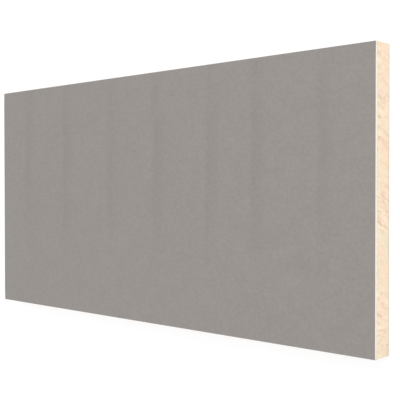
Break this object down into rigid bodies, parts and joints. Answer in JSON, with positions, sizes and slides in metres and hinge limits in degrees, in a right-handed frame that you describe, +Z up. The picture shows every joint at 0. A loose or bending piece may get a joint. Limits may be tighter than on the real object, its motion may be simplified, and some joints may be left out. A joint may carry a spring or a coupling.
{
  "type": "insulated drywall sheet",
  "caption": "Flat rectangular sheet of grey paper-faced drywall bonded to a thick cream rigid foam board, used to line and insulate a wall.",
  "frame": {"origin": "middle of the underside, which is the outer side of the back facing", "axes": "+X along the length, +Y across the width, +Z up through the thickness, out of the grey face"},
  "size_m": [2.438, 1.2, 0.1025],
  "materials": {
    "face_paper": "matt grey recycled liner paper, slightly mottled",
    "gypsum": "matt off-white set gypsum, cut and slightly pitted at the ends",
    "back_paper": "matt grey-brown recycled liner paper",
    "foam": "matt cream closed-cell rigid foam, sawn, with streaks across its thickness",
    "facing": "matt light grey mineral-coated tissue"
  },
  "bodies": {
    "root": {"face_paper": "face_paper", "gypsum_core": "gypsum", "back_paper": "back_paper", "foam_core": "foam", "back_facing": "facing"}
  },
  "joints": []
}
